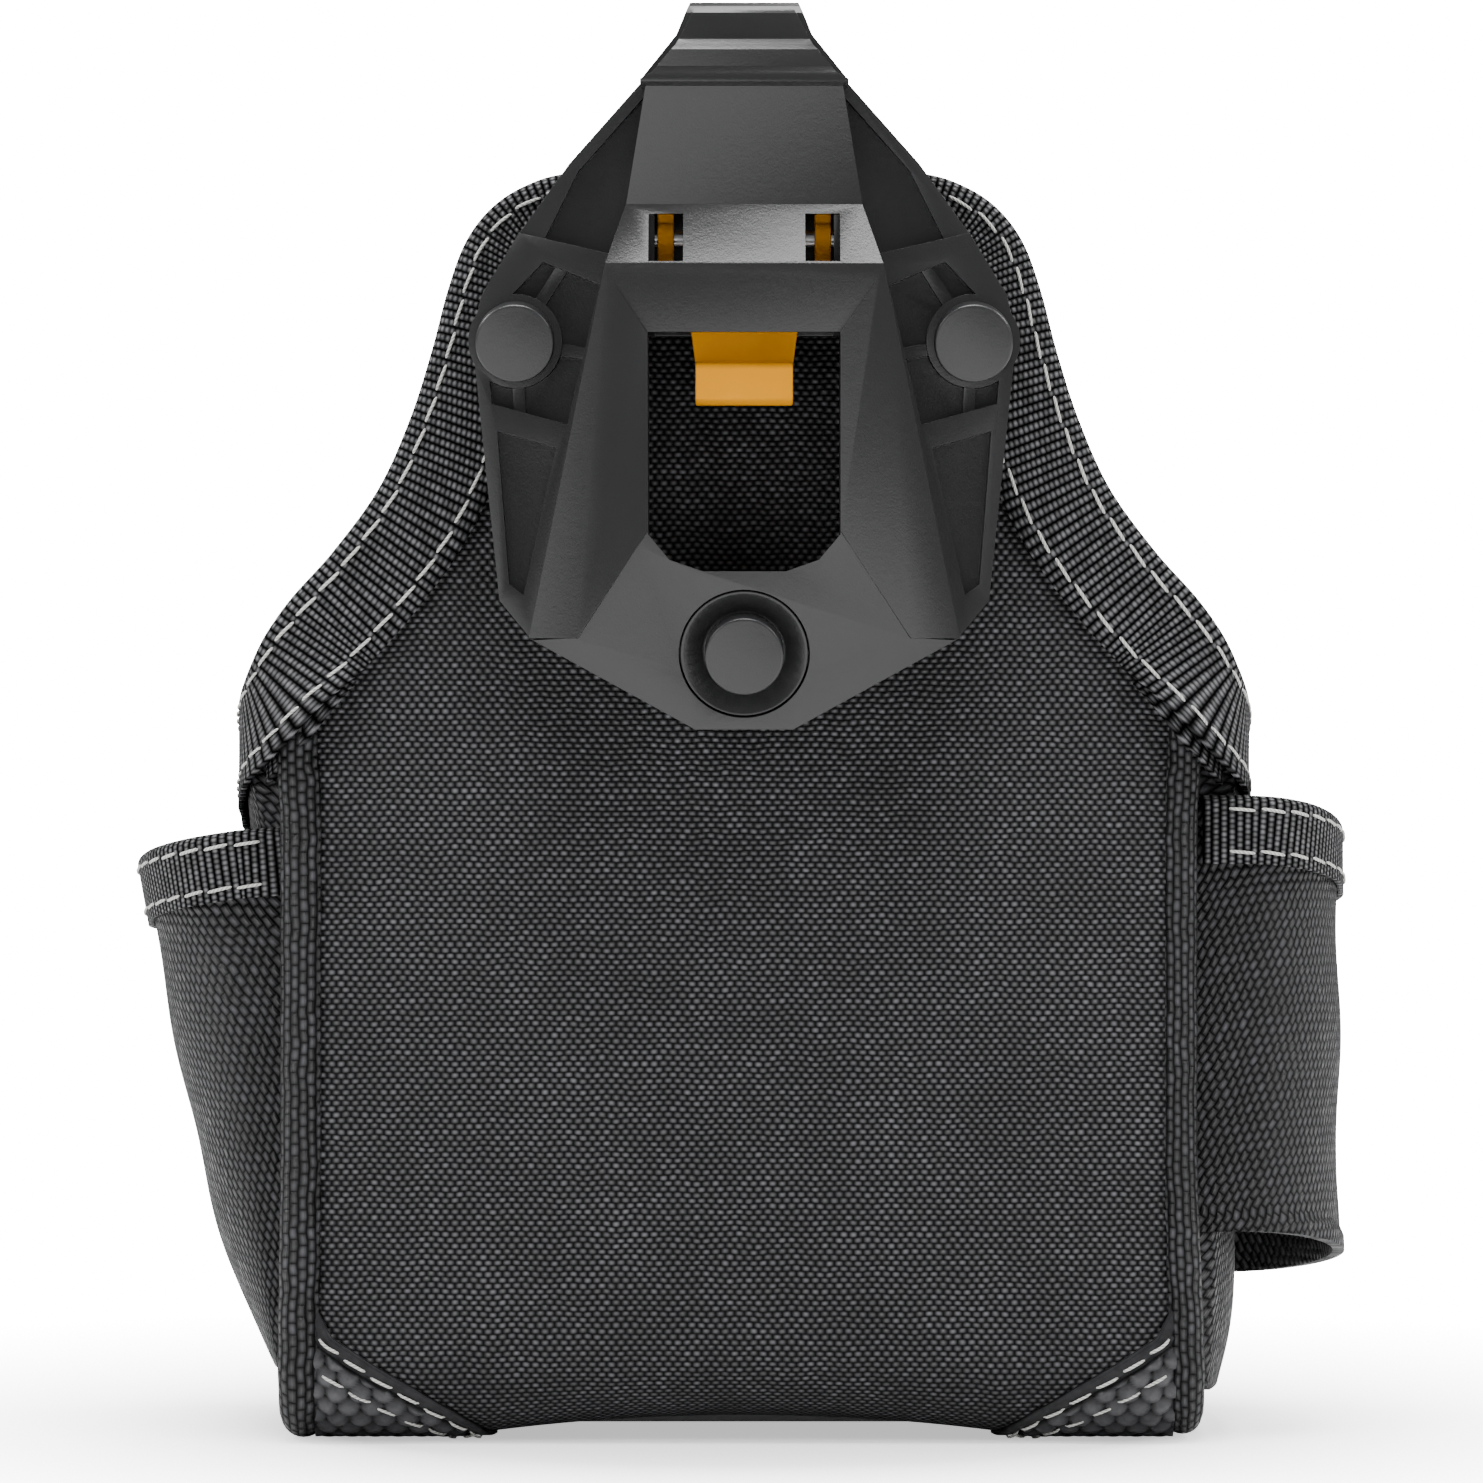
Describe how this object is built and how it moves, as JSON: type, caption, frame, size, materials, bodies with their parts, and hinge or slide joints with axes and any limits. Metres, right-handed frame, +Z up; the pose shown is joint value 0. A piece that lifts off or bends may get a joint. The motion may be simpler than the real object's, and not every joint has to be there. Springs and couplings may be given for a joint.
{
  "type": "electrician tool pouch",
  "caption": "Open-topped fabric tool pouch with side pockets, tool loops and a riveted plastic belt clip with a sprung yellow latch.",
  "frame": {"origin": "middle of the floor under the pouch, under the centre of its overall box", "axes": "+Z up; +X to the right as seen from the clip side; -Y the side the clip is on, +Y the front pocket's side"},
  "size_m": [0.2297, 0.1266, 0.2647],
  "materials": {
    "ballistic_fabric": "woven",
    "side_fabric": "woven",
    "webbing": "ribbed",
    "lining": "woven",
    "patch": "textured",
    "clip_plastic": "matt",
    "rivet_plastic": "satin",
    "latch_yellow": "satin",
    "steel": "satin",
    "board": "matt"
  },
  "bodies": {
    "pouch": {"clip_plate": "clip_plastic", "clip_liner": "clip_plastic", "latch_pin": "steel", "latch_spring": "steel", "upper_rivets": "rivet_plastic", "lower_rivet": "rivet_plastic", "lower_rivet_dish": "clip_plastic", "rivet_washers": "steel", "back_panel": "ballistic_fabric", "back_board": "board", "back_lining": "lining", "front_panel": "ballistic_fabric", "bottom_panel": "ballistic_fabric", "bottom_board": "board", "left_side_panel": "side_fabric", "right_side_panel": "side_fabric", "left_piping": "side_fabric", "right_piping": "side_fabric", "mouth_binding": "webbing", "back_corner_patches": "patch", "front_corner_patches": "patch", "left_pocket": "side_fabric", "left_pocket_binding": "webbing", "right_tool_sleeve": "side_fabric", "right_sleeve_binding": "webbing", "front_pocket": "ballistic_fabric", "front_pocket_binding": "webbing", "front_tool_loops": "webbing", "inner_tool_loops": "webbing"},
    "latch": {"latch_lever": "latch_yellow"}
  },
  "joints": [
    {"name": "latch_swing", "type": "hinge", "parent": "pouch", "child": "latch", "pos_m": [0, -0.0521, 0.222], "axis": [1, 0, 0], "range_deg": [0, 8], "stiffness_Nm_per_rad": 0.3, "deforming": ["latch_spring"]}
  ]
}
